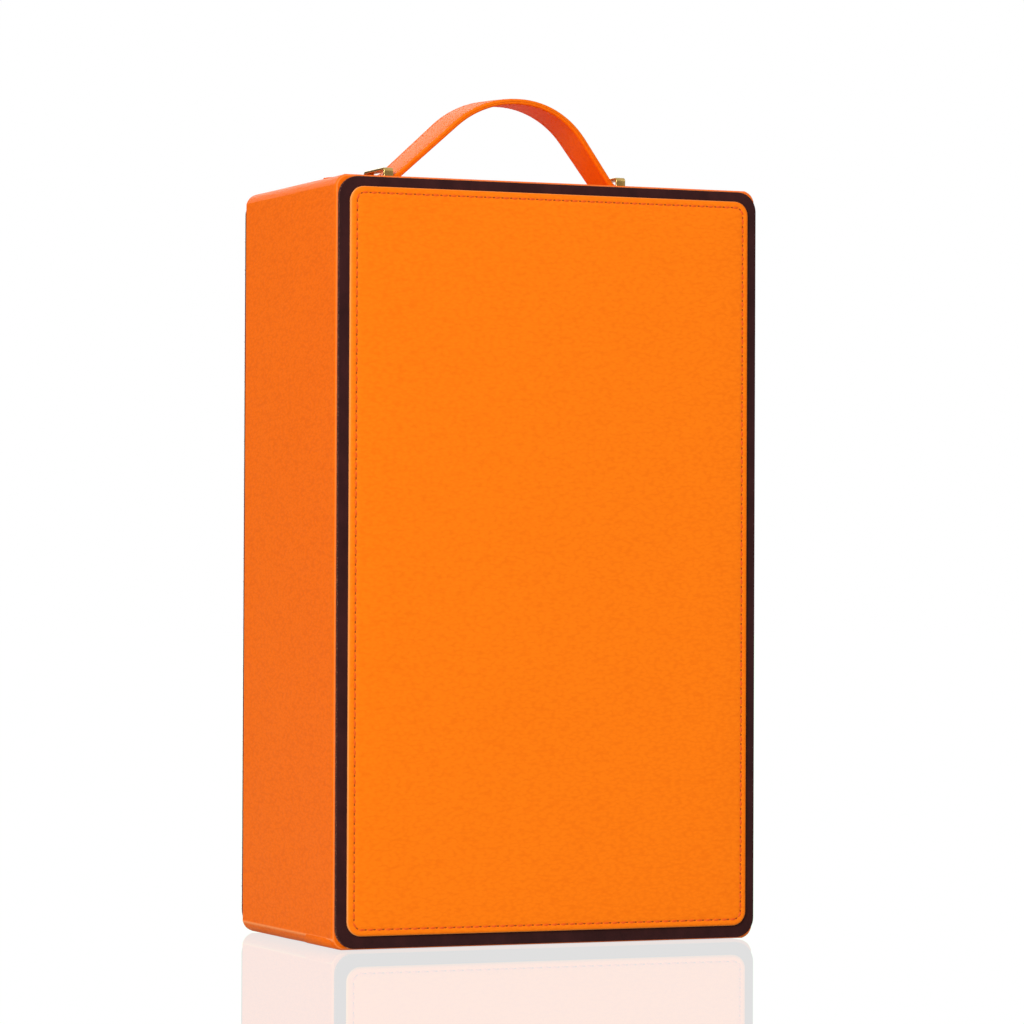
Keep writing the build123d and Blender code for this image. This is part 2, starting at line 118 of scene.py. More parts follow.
def bar(start, direction, radius, length, segments):
    """A round bar from a point along a direction."""
    bm = bmesh.new()
    bmesh.ops.create_cone(
        bm, cap_ends=True, segments=segments, radius1=radius, radius2=radius, depth=length
    )
    turn = Vector(direction).to_track_quat("Z", "Y").to_matrix().to_4x4()
    place = Matrix.Translation(Vector(start) + Vector(direction) * length / 2)
    bmesh.ops.transform(bm, matrix=place @ turn, verts=bm.verts)
    return bm


def round_edges(bm, edges, radius, segments):
    """Rounds some edges of a mesh."""
    bmesh.ops.bevel(
        bm,
        geom=edges,
        offset=radius,
        offset_type="OFFSET",
        segments=segments,
        profile=0.5,
        affect="EDGES",
        material=-1,
        clamp_overlap=False,
    )


def edges_along(bm, axis):
    """The edges that run along an axis."""
    ends = [(e, (e.verts[0].co - e.verts[1].co).normalized()) for e in bm.edges]
    return [e for e, direction in ends if abs(direction[axis]) > 0.999]


def flat_faces(bm, axis, place):
    """The faces that lie flat at one place on an axis."""
    return [f for f in bm.faces if all(abs(v.co[axis] - place) < 0.01 for v in f.verts)]


def rim_of(faces):
    """The edges round a group of faces."""
    around = {e for f in faces for e in f.edges}
    return [e for e in around if sum(f in faces for f in e.link_faces) == 1]


def slice_across(bm, axis, places):
    """Cuts a mesh's faces across an axis at some places, without taking anything away."""
    normal = Vector((0, 0, 0))
    normal[axis] = 1
    for place in places:
        bmesh.ops.bisect_plane(
            bm,
            geom=bm.verts[:] + bm.edges[:] + bm.faces[:],
            dist=0.01,
            plane_co=normal * place,
            plane_no=normal,
        )


def spread(low, high, step):
    """Even places between two ends, about a step apart, without the ends."""
    count = max(1, round((high - low) / step))
    return [low + (high - low) * i / count for i in range(1, count)]


def joined(shapes):
    """Several shapes as one."""
    whole = bmesh.new()
    for bm in shapes:
        mesh = bpy.data.meshes.new("part")
        bm.to_mesh(mesh)
        bm.free()
        whole.from_mesh(mesh)
        bpy.data.meshes.remove(mesh)
    return whole


def repeated(shape, frames):
    """Copies of a small shape, one in each frame."""
    mesh = bpy.data.meshes.new("small")
    shape.to_mesh(mesh)
    shape.free()
    whole = bmesh.new()
    for place in frames:
        count = len(whole.verts)
        whole.from_mesh(mesh)
        whole.verts.ensure_lookup_table()
        bmesh.ops.transform(whole, matrix=place, verts=whole.verts[count:])
    bpy.data.meshes.remove(mesh)
    return whole


def loose_object(name, bm):
    """An object for a shape, in the shape's own units."""
    mesh = bpy.data.meshes.new(name)
    bm.to_mesh(mesh)
    bm.free()
    obj = bpy.data.objects.new(name, mesh)
    bpy.context.scene.collection.objects.link(obj)
    return obj


def with_modifiers(obj):
    """The shape that an object has after its modifiers. The object is thrown away."""
    bpy.context.view_layer.update()
    mesh = bpy.data.meshes.new_from_object(obj.evaluated_get(bpy.context.evaluated_depsgraph_get()))
    bm = bmesh.new()
    bm.from_mesh(mesh)
    bpy.data.meshes.remove(mesh)
    bpy.data.objects.remove(obj)
    return bm


def carved(bm, cutter):
    """A closed shape with another cut out of it."""
    whole, tool = loose_object("whole", bm), loose_object("tool", cutter)
    cut = whole.modifiers.new("cut", "BOOLEAN")
    cut.operation = "DIFFERENCE"
    cut.solver = "EXACT"
    cut.object = tool
    made = with_modifiers(whole)
    bpy.data.objects.remove(tool)
    return made


def rounded_line(points, radii, step=4.0):
    """Points along straight runs with round corners, a few degrees apart in the corners."""
    line = [Vector(points[0])]
    for before, corner, after, radius in zip(points, points[1:], points[2:], radii):
        into = (Vector(corner) - Vector(before)).normalized()
        out = (Vector(after) - Vector(corner)).normalized()
        turn = into.angle_signed(out)
        reach = radius * math.tan(abs(turn) / 2)
        start = Vector(corner) - into * reach
        side = Vector((into.y, -into.x)) * math.copysign(radius, turn)
        count = max(2, math.ceil(math.degrees(abs(turn)) / step))
        for i in range(count + 1):
            line.append(start + side - Matrix.Rotation(-turn * i / count, 2) @ side)
    line.append(Vector(points[-1]))
    return line


def lengths_along(line):
    """How far each point of a line is along it."""
    total, found = 0.0, [0.0]
    for a, b in zip(line, line[1:]):
        total += (b - a).length
        found.append(total)
    return found


def place_on(line, lengths, distance):
    """The point and the direction of a line at some distance along it."""
    index = max(1, min(len(line) - 1, sum(length < distance for length in lengths)))
    a, b = line[index - 1], line[index]
    share = (distance - lengths[index - 1]) / (lengths[index] - lengths[index - 1])
    return a.lerp(b, share), (b - a).normalized()


def rounded_outline(low, high, radius):
    """The closed outline of a rectangle with round corners, between two corners."""
    start = ((low[0] + high[0]) / 2, low[1])
    corners = [(high[0], low[1]), (high[0], high[1]), (low[0], high[1]), (low[0], low[1])]
    return rounded_line([start, *corners, start], [radius] * 4, 12.0)


def drawn_through(rings):
    """A closed shape drawn through rings of points, with its two ends closed."""
    bm = bmesh.new()
    loops = []
    for ring in rings:
        verts = [bm.verts.new(point) for point in ring]
        loops.append([bm.edges.new((verts[i - 1], verts[i])) for i in range(len(verts))])
    for first, second in zip(loops, loops[1:]):
        bmesh.ops.bridge_loops(bm, edges=first + second)
    for loop in (loops[0], loops[-1]):
        bmesh.ops.contextual_create(bm, geom=loop)
    bmesh.ops.recalc_face_normals(bm, faces=bm.faces)
    return bm


def drawn_along(outline, frames):
    """A closed shape whose outline is drawn through frames."""
    return drawn_through([[place @ Vector((0, u, v)) for u, v in outline] for place in frames])


def standing(outline, low, high):
    """A flat outline in X and Y as a slab between two heights."""
    bm = bmesh.new()
    verts = [bm.verts.new((x, y, low)) for x, y in outline]
    face = bmesh.ops.contextual_create(bm, geom=verts)["faces"]
    top = bmesh.ops.extrude_face_region(bm, geom=face)["geom"]
    raised = [v for v in top if isinstance(v, bmesh.types.BMVert)]
    bmesh.ops.translate(bm, vec=(0, 0, high - low), verts=raised)
    bmesh.ops.recalc_face_normals(bm, faces=bm.faces)
    return bm


# Materials
def linear(colour):
    """An sRGB hex colour as the linear colour that shaders take."""
    parts = [int(colour[i:i + 2], 16) / 255 for i in (1, 3, 5)]
    return (*[c / 12.92 if c <= 0.04045 else ((c + 0.055) / 1.055) ** 2.4 for c in parts], 1.0)


def add(tree, kind, settings=None, inputs=None):
    """Adds a node to a tree, with its settings, and a value or a link on each input named."""
    made = tree.nodes.new(kind)
    for key, value in (settings or {}).items():
        setattr(made, key, value)
    for key, value in (inputs or {}).items():
        if isinstance(value, bpy.types.NodeSocket):
            tree.links.new(value, made.inputs[key])
        else:
            made.inputs[key].default_value = value
    return made


def blank_material(name):
    """A material with nothing in it yet, and its node tree."""
    material = bpy.data.materials.new(name)
    material.use_nodes = True
    material.node_tree.nodes.clear()
    return material, material.node_tree


def grain_space(tree, width, height):
    """Object coordinates counted in grains of a width and a height in millimetres."""
    place = add(tree, "ShaderNodeTexCoord").outputs["Object"]
    scale = (1 / (width * MM), 1 / (width * MM), 1 / (height * MM))
    return add(tree, "ShaderNodeMapping", {}, {"Vector": place, "Scale": scale}).outputs["Vector"]


def speckle(tree, space, detail, roughness=0.5, scale=1.0):
    """A noise texture in a space of grains."""
    inputs = {"Vector": space, "Scale": scale, "Detail": detail, "Roughness": roughness}
    return add(tree, "ShaderNodeTexNoise", {}, inputs)


def weighted_sum(tree, value, weight, other):
    """A value times a weight, with another value added."""
    inputs = {0: value, 1: weight, 2: other}
    return add(tree, "ShaderNodeMath", {"operation": "MULTIPLY_ADD"}, inputs).outputs["Value"]


def ranged(tree, value, low, high, to_low=0.0, to_high=1.0):
    """A value brought from one range into another, and held inside it."""
    limits = {"From Min": low, "From Max": high, "To Min": to_low, "To Max": to_high}
    return add(tree, "ShaderNodeMapRange", {}, {"Value": value, **limits}).outputs["Result"]


def blend(tree, share, first, second):
    """Two colours mixed, with a share of the second."""
    inputs = {"Factor": share, "A": first, "B": second}
    return add(tree, "ShaderNodeMix", {"data_type": "RGBA"}, inputs).outputs[2]


def bumps(tree, height, depth, strength):
    """Bumps whose depth is in millimetres."""
    inputs = {"Height": height, "Distance": depth * MM, "Strength": strength}
    return add(tree, "ShaderNodeBump", {}, inputs).outputs["Normal"]


def painted(material, looks):
    """Ends a material's tree with a shader that has these looks."""
    tree = material.node_tree
    shader = add(tree, "ShaderNodeBsdfPrincipled", {}, looks)
    add(tree, "ShaderNodeOutputMaterial", {}, {"Surface": shader.outputs["BSDF"]})
    return material


def pebbled_leather(name, light, dark, highlight_colour, shine, roughness, relief, grain):
    """Polyurethane leather with a pebbled grain: painted shade darkens its creases, and a painted
    highlight lightens marked folds and rims.
    """
    material, tree = blank_material(name)
    space = grain_space(tree, *grain)
    drift = speckle(tree, space, 2.0, scale=0.7).outputs["Color"]
    moved = add(
        tree,
        "ShaderNodeVectorMath",
        {"operation": "MULTIPLY_ADD"},
        {0: drift, 1: (1.4, 1.4, 1.4), 2: space},
    ).outputs["Vector"]
    pebbles = add(
        tree,
        "ShaderNodeTexVoronoi",
        {"feature": "SMOOTH_F1"},
        {"Vector": moved, "Scale": 1.0, "Smoothness": 0.5},
    ).outputs["Distance"]
    pores = speckle(tree, grain_space(tree, 0.6, 0.5), 3.0, 0.6).outputs["Fac"]
    clouds = speckle(tree, grain_space(tree, 55.0, 55.0), 1.0).outputs["Fac"]
    # Painted shade: the colour is darker in the creases between the pebbles, where shade falls.
    crease_shade = ranged(tree, pebbles, 0.3, 0.85)
    tone = ranged(tree, weighted_sum(tree, clouds, 0.25, crease_shade), 0.1, 1.1)
    colour = blend(tree, tone, linear(light), linear(dark))
    # Painted highlight: the highlight colour is mixed in by the share marked on the mesh.
    painted_highlight = add(tree, "ShaderNodeAttribute", {"attribute_name": "painted_highlight"}).outputs["Fac"]
    highlight_mix = add(tree, "ShaderNodeMath", {"operation": "MULTIPLY"}, {0: painted_highlight, 1: 0.85})
    height = weighted_sum(tree, pebbles, -1.4, pores)
    looks = {
        "Base Color": blend(tree, highlight_mix.outputs["Value"], colour, linear(highlight_colour)),
        "Roughness": ranged(tree, pores, 0.0, 1.0, roughness - 0.06, roughness + 0.08),
        "IOR": 1.4,
        "Specular IOR Level": shine,
        "Normal": bumps(tree, height, relief, 1.0),
    }
    return painted(material, looks)


def brushed_suede(name, light, dark):
    """Microfibre suede: matt, with a nap that lies in patches and catches light at its edges."""
    material, tree = blank_material(name)
    patches = speckle(tree, grain_space(tree, 9.0, 14.0), 4.0, 0.65).outputs["Fac"]
    fibres = speckle(tree, grain_space(tree, 0.5, 0.5), 4.0, 0.7).outputs["Fac"]
    tone = ranged(tree, weighted_sum(tree, fibres, 1.1, patches), 0.75, 1.35)
    looks = {
        "Base Color": blend(tree, tone, linear(dark), linear(light)),
        "Roughness": 0.95,
        "IOR": 1.35,
        "Specular IOR Level": 0.2,
        "Sheen Weight": 0.35,
        "Sheen Roughness": 0.45,
        "Sheen Tint": linear("#A0685E"),
        "Normal": bumps(tree, fibres, 0.25, 0.8),
    }
    return painted(material, looks)


def metal(name, bright, dull, roughness):
    """Plated or polished metal with faint polishing lines, a little duller where it is handled."""
    material, tree = blank_material(name)
    lines = speckle(tree, grain_space(tree, 0.12, 3.0), 3.0).outputs["Fac"]
    handled = speckle(tree, grain_space(tree, 3.5, 3.5), 3.0).outputs["Fac"]
    wear_and_highlight = ranged(tree, handled, 0.35, 0.7)
    looks = {
        "Base Color": blend(tree, wear_and_highlight, linear(bright), linear(dull)),
        "Metallic": 1.0,
        "Roughness": ranged(tree, handled, 0.0, 1.0, roughness - 0.05, roughness + 0.12),
        "Normal": bumps(tree, lines, 0.01, 0.5),
    }
    return painted(material, looks)


def matt_stuff(name, light, dark, grain, roughness=0.85, relief=0.15):
    """Matt material with a fine speckle, such as felt, fibreboard or thread."""
    material, tree = blank_material(name)
    specks = speckle(tree, grain_space(tree, grain, grain), 5.0, 0.7).outputs["Fac"]
    tone = ranged(tree, specks, 0.3, 0.7)
    looks = {
        "Base Color": blend(tree, tone, linear(dark), linear(light)),
        "Roughness": roughness,
        "IOR": 1.45,
        "Specular IOR Level": 0.3,
        "Normal": bumps(tree, specks, relief, 0.6),
    }
    return painted(material, looks)


# The grains are as wide and tall, in millimetres, as the wrinkles that the real leathers show
# The third colour of each leather is its painted highlight, mixed in on marked folds and rims.
WRAP_LEATHER = pebbled_leather(
    "wrap_leather_pu_pebbled",
    "#F26A05",
    "#E86103",
    "#FFA468",
    shine=0.09,
    roughness=0.5,
    relief=0.07,
    grain=(2.8, 1.1),
)
PANEL_LEATHER = pebbled_leather(
    "panel_leather_pu_pebbled",
    "#F67609",
    "#EF6E06",
    "#FFA65E",
    shine=0.12,
    roughness=0.5,
    relief=0.044,
    grain=(2.6, 1.25),
)
STRAP_LEATHER = pebbled_leather(
    "strap_leather_pu_fine",
    "#F0720A",
    "#E66607",
    "#FA8A46",
    shine=0.08,
    roughness=0.5,
    relief=0.03,
    grain=(1.3, 1.0),
)
DARK_SUEDE = brushed_suede("dark_board_microsuede", "#3B1A1B", "#271011")
LINING_SUEDE = brushed_suede("lining_microsuede", "#64403A", "#4C2C27")
# Painted highlight: the nap's fibres are coloured pale for the light that they catch.
NAP_GLINT_FIBRE = matt_stuff("cut_nap_fibre", "#C88A6C", "#84503E", 0.4, 0.9, 0.02)
BRASS = metal("brass_polished_lacquered", "#E8C477", "#D0A960", 0.22)
STEEL = metal("steel_nickel_plated", "#D4D5D6", "#A9ABAD", 0.25)
FELT = matt_stuff("base_pad_felt", "#1E1516", "#0F0A0B", 0.5, 0.95, 0.3)
FIBREBOARD = matt_stuff("wall_fibreboard", "#9A7A55", "#76583A", 1.2)
STIFFENER = matt_stuff("strap_stiffener_bonded", "#2A2522", "#1A1715", 0.8)
THREAD = matt_stuff("thread_polyester_orange", "#E85A08", "#D44E06", 0.25, 0.6, 0.08)
LINING_THREAD = matt_stuff("thread_polyester_brown", "#946455", "#744A3E", 0.25, 0.6, 0.08)
# Painted shade: dark discs stand for the shade inside the needle holes.
NEEDLE_HOLE_SHADE = matt_stuff("needle_hole_shadow", "#A8400A", "#7E2C04", 0.3, 0.9, 0.05)

NODE_MATERIALS = {
    "wrap_leather": WRAP_LEATHER,
    "panel_leather": PANEL_LEATHER,
    "strap_leather": STRAP_LEATHER,
    "dark_suede": DARK_SUEDE,
    "lining_suede": LINING_SUEDE,
    "base_felt": FELT,
    "fibreboard": FIBREBOARD,
    "brass": BRASS,
    "steel": STEEL,
    "stiffener": STIFFENER,
}
for cad_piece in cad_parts.values():
    cad_slot = cad_piece.material_slots[0]
    cad_slot.material = NODE_MATERIALS[cad_slot.material.name.split(".")[0]]


def mark_painted_highlights(bm, highlight_at):
    """Marks the share of painted highlight at each point of a leather, from 0 to 1."""
    painted_highlight = bm.verts.layers.float.new("painted_highlight")
    for v in bm.verts:
        v[painted_highlight] = highlight_at(v.co)


def finish(name, bm, body, slot, material, stands_for=(), crease=40.0, highlight_at=None):
    """Makes a shape a piece of the object: in metres, smooth, painted, and riding on its body."""
    if highlight_at:
        mark_painted_highlights(bm, highlight_at)
    bmesh.ops.scale(bm, vec=(MM, MM, MM), verts=bm.verts)
    obj = loose_object(name, bm)
    obj.data.shade_smooth()
    obj.data.set_sharp_from_angle(angle=math.radians(crease))
    obj.data.materials.clear()
    obj.data.materials.append(material)
    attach(obj, body)
    if stands_for:
        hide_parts(*stands_for)
    return obj


# Leather round the carcass
def hinge_hollows():
    """The hollows round the hinges' knuckles."""
    pin = middle_of("hinge_pins")
    reach = HINGE_REACH + 0.9
    return [
        bar((pin.x, pin.y, z - reach), (0, 0, 1), KNUCKLE_ROOM, 2 * reach, 32)
        for z in HINGE_HEIGHTS
    ]


def leaf_hollows(near, far):
    """The hollows that the hinges' leaves lie in, between two depths."""
    pin = middle_of("hinge_pins")
    reach = HINGE_REACH + 0.1
    return [
        block((pin.x - LEAF_WIDTH - 0.1, near, z - reach), (pin.x + 1.5, far, z + reach))
        for z in HINGE_HEIGHTS
    ]


def flatten_corners(bm, low, high):
    """Presses the wrap's round corners flat, so that each starts and ends with a crease."""
    half_height = (high.z - low.z) / 2
    centre = Vector((high.x - WRAP_CORNER, half_height - WRAP_CORNER))
    for v in bm.verts:
        level = v.co.z - low.z - half_height
        arm = Vector((abs(v.co.x), abs(level))) - centre
        if min(arm) > 0.01:
            pressed = CORNER_FLATTENING * (1 - abs(math.cos(2 * math.atan2(arm.y, arm.x))) ** 8)
            arm *= 1 - pressed / WRAP_CORNER
            v.co.x = math.copysign(centre.x + arm.x, v.co.x)
            v.co.z = low.z + half_height + math.copysign(centre.y + arm.y, level)


def wrap_skin(low, high):
    """The wrap's outer surface: four sides with creased corners, turned in over both rims."""
    bm = block(low, high)
    round_edges(bm, edges_along(bm, 1), WRAP_CORNER, 6)
    flatten_corners(bm, low, high)
    for y in (low.y, high.y):
        round_edges(bm, rim_of(flat_faces(bm, 1, y)), RIM_ROUND, 5)
    side, bottom, top = high.x - TURN_IN, low.z + TURN_IN, high.z - TURN_IN
    slice_across(bm, 0, (-side, side))
    slice_across(bm, 2, (bottom, top))
    middles = [
        (f, f.calc_center_median())
        for f in flat_faces(bm, 1, low.y) + flat_faces(bm, 1, high.y)
    ]
    open_faces = [f for f, middle in middles if abs(middle.x) < side and bottom < middle.z < top]
    bmesh.ops.delete(bm, geom=open_faces, context="FACES")
    beside_rim = RIM_ROUND + CREASE_MARGIN
    beside_corner = WRAP_CORNER + CREASE_MARGIN
    slice_across(bm, 1, (low.y + beside_rim, high.y - beside_rim))
    slice_across(bm, 2, (low.z + beside_corner, high.z - beside_corner))
    slice_across(bm, 0, (beside_corner - high.x, high.x - beside_corner))
    ripple_step = 9.0
    slice_across(bm, 1, spread(low.y, high.y, ripple_step))
    slice_across(bm, 2, spread(bottom, top, ripple_step))
    slice_across(bm, 0, spread(-side, side, ripple_step))
    return bm


def ripple_skin(bm, low, high):
    """Lets the wrap's sides wander in and out a little, and draws them in, away from the rims."""
    bm.normal_update()
    for v in bm.verts:
        depth = min(v.co.y - low.y, high.y - v.co.y) - 2 * RIM_ROUND
        if depth > 0:
            ripple = noise.noise(v.co * 0.022) + 0.5 * noise.noise(v.co * 0.055)
            v.co += v.normal * (ripple * 0.14 - 0.08) * min(1.0, depth / 8)


def prong_slits(top):
    """The slits that the loops' prongs go through."""
    half = Vector((LOOP_HALF + 0.1, LOOP_HALF_THICK + 0.1, 3))
    middles = [Vector((x, side * PRONG_PLACE, top)) for x in LOOP_PLACES for side in (-1, 1)]
    return [block(middle - half, middle + half) for middle in middles]


def wrap_shape():
    """The wrap's leather, with room for the magnets, the prongs and the hinges."""
    low, high = box_mm("body_wrap")
    bm = wrap_skin(low, high)
    ripple_skin(bm, low, high)
    bmesh.ops.solidify(bm, geom=bm.faces, thickness=LEATHER)
    magnet_x = middle_of("closing_magnets").x
    magnet_holes = [
        bar((magnet_x, low.y - 1, z), (0, 1, 0), MAGNET_ROOM, 4, 32) for z in MAGNET_HEIGHTS
    ]
    bm = carved(bm, joined(hinge_hollows() + magnet_holes + prong_slits(high.z)))
    return carved(bm, joined(leaf_hollows(low.y - 1, low.y + LEATHER)))


def wrap_highlights():
    """How much painted highlight the wrap gets: much on the creases above its base, a little on its
    rims.
    """
    low, high = box_mm("body_wrap")

    def highlight_at(point):
        from_crease = abs(point.z - low.z - WRAP_CORNER)
        if from_crease < 0.05 and abs(point.x) > high.x - 0.5:
            return 0.7
        behind_rim = min(abs(point.y - low.y), abs(point.y - high.y))
        return 0.25 if 0.02 < behind_rim < 0.3 else 0.0

    return highlight_at


def panel_highlights(outer_y):
    """How much painted highlight a panel gets: only on its outer edge."""
    return lambda point: 0.8 if abs(point.y - outer_y) > 0.6 else 0.0


def lap_shape():
    """The lap where the wrap's two ends meet, round the bottom edge on the left."""
    low, high = box_mm("body_wrap")
    centre = Vector((low.x + WRAP_CORNER, low.z + WRAP_CORNER))
    angles = [math.radians(a) for a in range(176, 275, 7)]
    spokes = [Vector((math.cos(a), math.sin(a))) for a in angles]
    radius = WRAP_CORNER - CORNER_FLATTENING
    outer = [spoke * (radius + 0.42) for spoke in spokes]
    inner = [centre + spoke * (radius - 0.3) for spoke in reversed(spokes)]
    front, end = low.y + 2.2, -27.0
    rings = []
    for y, thinner in ((front, 0.25), (front + 0.6, 0.0), (end - 0.6, 0.0), (end, 0.25)):
        points = [centre + arm * (1 - thinner / radius) for arm in outer] + inner
        rings.append([(p.x, y, p.y) for p in points])
    bm = drawn_through(rings)
    slant = 1.6
    for v in bm.verts:
        if v.co.y > front + 1:
            v.co.y += slant * (low.z + WRAP_CORNER - v.co.z)
    return bm


def base_felt_shape():
    """The felt under the case, with its lower edge a little rounded."""
    low, high = box_mm("base_pad")
    corner, edge = 9.0, 0.2
    outline = rounded_outline((low.x, low.y), (high.x, high.y), corner)[:-1]
    bm = standing(outline, low.z, high.z)
    round_edges(bm, rim_of(flat_faces(bm, 2, low.z)), edge, 2)
    return bm


# Boards and panels
def board_shape(node):
    """A suede-covered board with round corners and crisp edges."""
    low, high = box_mm(node)
    bm = block(low, high)
    round_edges(bm, edges_along(bm, 1), BOARD_CORNER, 10)
    for y in (low.y, high.y):
        round_edges(bm, rim_of(flat_faces(bm, 1, y)), BOARD_EDGE, 2)
    return bm


def door_board_shape():
    """The door's board, with room for the strike discs and the hinges."""
    back = box_mm("door_board")[1].y
    magnet_x = middle_of("closing_magnets").x
    disc_holes = [
        bar((magnet_x, back - 1, z), (0, 1, 0), DISC_ROOM, 3, 32) for z in MAGNET_HEIGHTS
    ]
    bm = carved(board_shape("door_board"), joined(hinge_hollows() + disc_holes))
    return carved(bm, joined(leaf_hollows(back - 1, back + 1)))


def cut_nap(node, seed):
    """The short fibres that stand out from a board's cut edge, except on the hinges' side."""
    low, high = box_mm(node)
    outline = rounded_outline((low.x, low.z), (high.x, high.z), BOARD_CORNER)
    lengths = lengths_along(outline)
    chance = random.Random(seed)
    frames = []
    for _ in range(round(lengths[-1] * NAP_DENSITY)):
        point, direction = place_on(outline, lengths, chance.uniform(0.0, lengths[-1]))
        if point.x > high.x - BOARD_CORNER / 2:
            continue
        out = Vector((direction.y, chance.uniform(-0.5, 0.5), -direction.x))
        out += Vector((direction.x, 0, direction.y)) * chance.uniform(-0.7, 0.7)
        depth = chance.uniform(low.y + BOARD_EDGE / 2, high.y - BOARD_EDGE / 2)
        turn = out.to_track_quat("Z", "Y").to_matrix().to_4x4()
        size = Matrix.Diagonal((1, 1, chance.uniform(0.4, 1.0), 1))
        frames.append(Matrix.Translation((point.x, depth, point.y)) @ turn @ size)
    fibre = bmesh.new()
    bmesh.ops.create_cone(
        fibre, cap_ends=True, segments=3, radius1=0.09, radius2=0.02, depth=NAP_LENGTH
    )
    bmesh.ops.translate(fibre, vec=(0, 0, NAP_LENGTH * 0.4), verts=fibre.verts)
    return repeated(fibre, frames)


def sewn_face_shape(node, outer, corner, edge):
    """A padded face with a soft edge, a pressed line for its seam, and a slightly full middle."""
    low, high = box_mm(node)
    bm = block(low, high)
    round_edges(bm, edges_along(bm, 1), corner, 8)
    face_y = low.y if outer < 0 else high.y
    round_edges(bm, rim_of(flat_faces(bm, 1, face_y)), edge, 4)
    face = flat_faces(bm, 1, face_y)[0]
    # Each step inwards over the seam is a width and a rise
    seam_steps = [
        (STITCH_INSET - edge - 0.9, 0.05),
        (0.5, -0.1),
        (0.4, -0.24),
        (0.4, 0.24),
        (0.5, 0.12),
        (1.4, 0.06),
    ]
    for width, rise in seam_steps:
        bmesh.ops.inset_region(bm, faces=[face], thickness=width, depth=rise, use_even_offset=True)
    middle_y = face.verts[0].co.y
    margin = 8.0
    for axis in (0, 2):
        slice_across(bm, axis, spread(low[axis] + margin, high[axis] - margin, 12.0))
    swell, unevenness = 0.22, 0.05
    for v in bm.verts:
        if abs(v.co.y - middle_y) < 0.01:
            across = (v.co.x - low.x) * (high.x - v.co.x) / ((high.x - low.x) / 2) ** 2
            along = (v.co.z - low.z) * (high.z - v.co.z) / ((high.z - low.z) / 2) ** 2
            fullness = max(0.0, across - 0.08) ** 0.35 * max(0.0, along - 0.05) ** 0.35
            v.co.y += outer * fullness * (swell + unevenness * noise.noise(v.co * 0.03))
    return bm


def stitch():
    """One stitch along X: a plump thread whose ends dive into the leather."""
    bm = bmesh.new()
    bmesh.ops.create_uvsphere(bm, u_segments=6, v_segments=6, radius=0.5)
    bmesh.ops.rotate(bm, matrix=Matrix.Rotation(math.pi / 2, 3, "Y"), verts=bm.verts)
    bmesh.ops.scale(bm, vec=STITCH_SIZE, verts=bm.verts)
    dive = 0.13
    for v in bm.verts:
        v.co.z -= dive * v.co.x ** 2
    return bm


def needle_hole_shade():
    """A dark disc of painted shade, for the shade inside the needle hole where the thread goes
    through the leather.
    """
    bm = bmesh.new()
    bmesh.ops.create_circle(bm, cap_ends=True, segments=8, radius=0.5)
    bmesh.ops.scale(bm, vec=(1.15, 0.85, 1.0), verts=bm.verts)
    bmesh.ops.poke(bm, faces=bm.faces)
    return bm


def face_seam(node, outer, corner, shift, slant, lift):
    """Frames along a sewn face's seam, with Z out of the face."""
    low, high = box_mm(node)
    inset = Vector((STITCH_INSET, 0, STITCH_INSET))
    start, end = low + inset, high - inset
    line = rounded_outline((start.x, start.z), (end.x, end.z), corner - STITCH_INSET)
    face_y = low.y if outer < 0 else high.y
    lengths = lengths_along(line)
    count = round(lengths[-1] / STITCH_PITCH)
    frames = []
    for i in range(count):
        middle, direction = place_on(line, lengths, lengths[-1] * (i + shift) / count)
        along = Vector((direction.x, 0, direction.y))
        out = Vector((0, outer, 0))
        turn = Matrix((along, out.cross(along), out)).transposed().to_4x4()
        place = Matrix.Translation((middle.x, face_y + outer * lift, middle.y))
        frames.append(place @ turn @ Matrix.Rotation(math.radians(slant), 4, "Z"))
    return frames


finish(
    "wrap_leather_skin",
    wrap_shape(),
    "case",
    "wrap_leather",
    WRAP_LEATHER,
    ["body_wrap"],
    crease=20.0,
    highlight_at=wrap_highlights(),
)
finish("wrap_leather_lap", lap_shape(), "case", "wrap_leather", WRAP_LEATHER)
finish("base_felt_sheet", base_felt_shape(), "case", "base_felt", FELT, ["base_pad"])
door_board, back_board = door_board_shape(), board_shape("back_board")
finish("door_board_suede", door_board, "door", "dark_suede", DARK_SUEDE, ["door_board"])
finish("back_board_suede", back_board, "case", "dark_suede", DARK_SUEDE, ["back_board"])
# The boards' nap fibres are real geometry; their pale colour is a painted highlight.
for board, board_body, seed in (("door_board", "door", 3), ("back_board", "case", 4)):
    finish(board + "_nap", cut_nap(board, seed), board_body, "dark_suede", NAP_GLINT_FIBRE)

